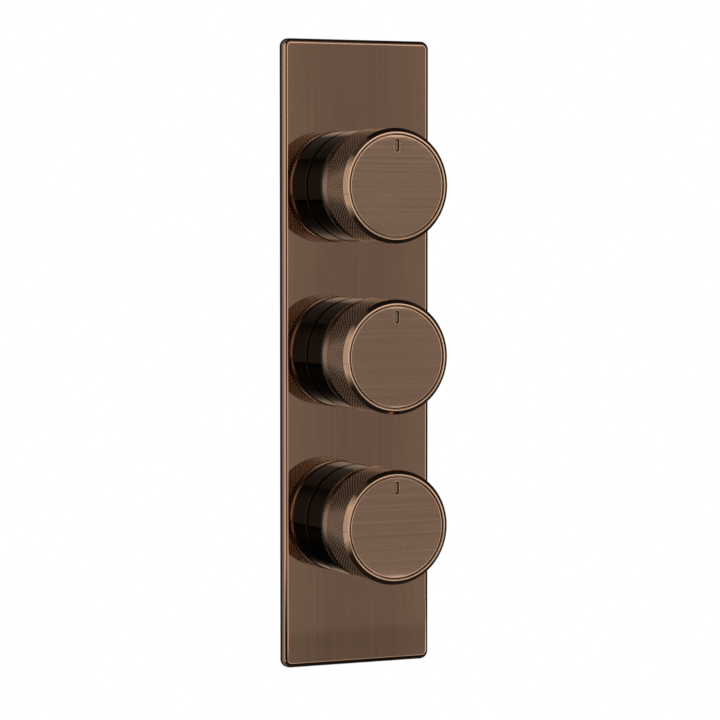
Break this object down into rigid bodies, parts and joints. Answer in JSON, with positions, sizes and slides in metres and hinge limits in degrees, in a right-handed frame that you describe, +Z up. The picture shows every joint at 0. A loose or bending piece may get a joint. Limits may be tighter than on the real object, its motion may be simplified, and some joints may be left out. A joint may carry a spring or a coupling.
{
  "type": "thermostatic shower valve",
  "caption": "Concealed thermostatic shower valve: tall brushed bronze faceplate with a column of knurled handles, brass body, cartridges, inlets and outlets behind it.",
  "frame": {"origin": "on the finished wall plane, at the centre of the faceplate's rear face", "axes": "+X to the right seen from the front, +Y into the wall, +Z up; the handles point along -Y"},
  "size_m": [0.137, 0.1286, 0.3],
  "materials": {
    "bronze_plate": "vertically brushed bronze",
    "bronze_sleeve": "polished and brushed bronze",
    "bronze_handle": "turned bronze with a knurled band",
    "bronze_cap": "horizontally brushed bronze",
    "cast_brass": "shot-blasted casting",
    "turned_brass": "turned",
    "stainless": "plain",
    "copper": "drawn",
    "ceramic": "lapped",
    "seal_rubber": "matt",
    "gasket_foam": "closed-cell foam",
    "white_plastic": "moulded",
    "dark_plastic": "moulded"
  },
  "bodies": {
    "valve": {"faceplate": "bronze_plate", "faceplate_gasket": "gasket_foam", "sleeve_o_rings": "seal_rubber", "trim_sleeve_top": "bronze_sleeve", "trim_sleeve_middle": "bronze_sleeve", "trim_sleeve_bottom": "bronze_sleeve", "nose_tube_top": "turned_brass", "nose_tube_middle": "turned_brass", "nose_tube_bottom": "turned_brass", "valve_body": "cast_brass", "cartridge_shell_top": "turned_brass", "cartridge_shell_middle": "turned_brass", "fixed_disc_top": "ceramic", "fixed_disc_middle": "ceramic", "seat_seal_top": "seal_rubber", "seat_seal_middle": "seal_rubber", "thermostat_shell": "turned_brass", "temperature_limit_ring": "white_plastic", "thermostat_o_rings": "seal_rubber", "hot_seat_sleeve": "white_plastic", "return_spring": "stainless", "inlet_union_hot": "turned_brass", "inlet_union_cold": "turned_brass", "union_washers": "seal_rubber", "strainer_hot": "stainless", "strainer_cold": "stainless", "check_body_hot": "white_plastic", "check_body_cold": "white_plastic", "check_spring_hot": "stainless", "check_spring_cold": "stainless"},
    "top_handle": {"handle_top": "bronze_handle", "handle_cap_top": "bronze_cap", "handle_screw_top": "stainless", "spline_bush_top": "turned_brass", "cartridge_spindle_top": "turned_brass", "spindle_clip_top": "stainless", "moving_disc_top": "ceramic"},
    "middle_handle": {"handle_middle": "bronze_handle", "handle_cap_middle": "bronze_cap", "handle_screw_middle": "stainless", "spline_bush_middle": "turned_brass", "cartridge_spindle_middle": "turned_brass", "spindle_clip_middle": "stainless", "moving_disc_middle": "ceramic"},
    "temperature_handle": {"handle_temperature": "bronze_handle", "handle_cap_temperature": "bronze_cap", "handle_screw_temperature": "stainless", "spline_bush_temperature": "turned_brass", "thermostat_spindle": "turned_brass"},
    "mixing_plunger": {"overload_cup": "turned_brass", "overload_spring": "stainless", "overload_retainer": "stainless", "wax_element": "copper", "mixing_shuttle": "dark_plastic"},
    "hot_poppet": {"check_poppet_hot": "dark_plastic"},
    "cold_poppet": {"check_poppet_cold": "dark_plastic"}
  },
  "joints": [
    {"name": "top_handle_turn", "type": "hinge", "parent": "valve", "child": "top_handle", "pos_m": [0, 0, 0.08], "axis": [0, -1, 0], "range_deg": [0, 90]},
    {"name": "middle_handle_turn", "type": "hinge", "parent": "valve", "child": "middle_handle", "pos_m": [0, 0, 0], "axis": [0, -1, 0], "range_deg": [0, 90]},
    {"name": "temperature_turn", "type": "hinge", "parent": "valve", "child": "temperature_handle", "pos_m": [0, 0, -0.08], "axis": [0, -1, 0], "range_deg": [-210, 60]},
    {"name": "mixing_plunger_slide", "type": "slide", "parent": "valve", "child": "mixing_plunger", "axis": [0, -1, 0], "range_m": [-0.00117, 0.00034], "deforming": ["return_spring"]},
    {"name": "hot_poppet_slide", "type": "slide", "parent": "valve", "child": "hot_poppet", "axis": [1, 0, 0], "range_m": [0, 0.0025], "stiffness_N_per_m": 150, "springref_m": -0.002, "deforming": ["check_spring_hot"]},
    {"name": "cold_poppet_slide", "type": "slide", "parent": "valve", "child": "cold_poppet", "axis": [-1, 0, 0], "range_m": [0, 0.0025], "stiffness_N_per_m": 150, "springref_m": -0.002, "deforming": ["check_spring_cold"]}
  ],
  "couplings": [
    {"joint": "mixing_plunger_slide", "follows": "temperature_turn", "m_per_rad": 0.00031831}
  ]
}
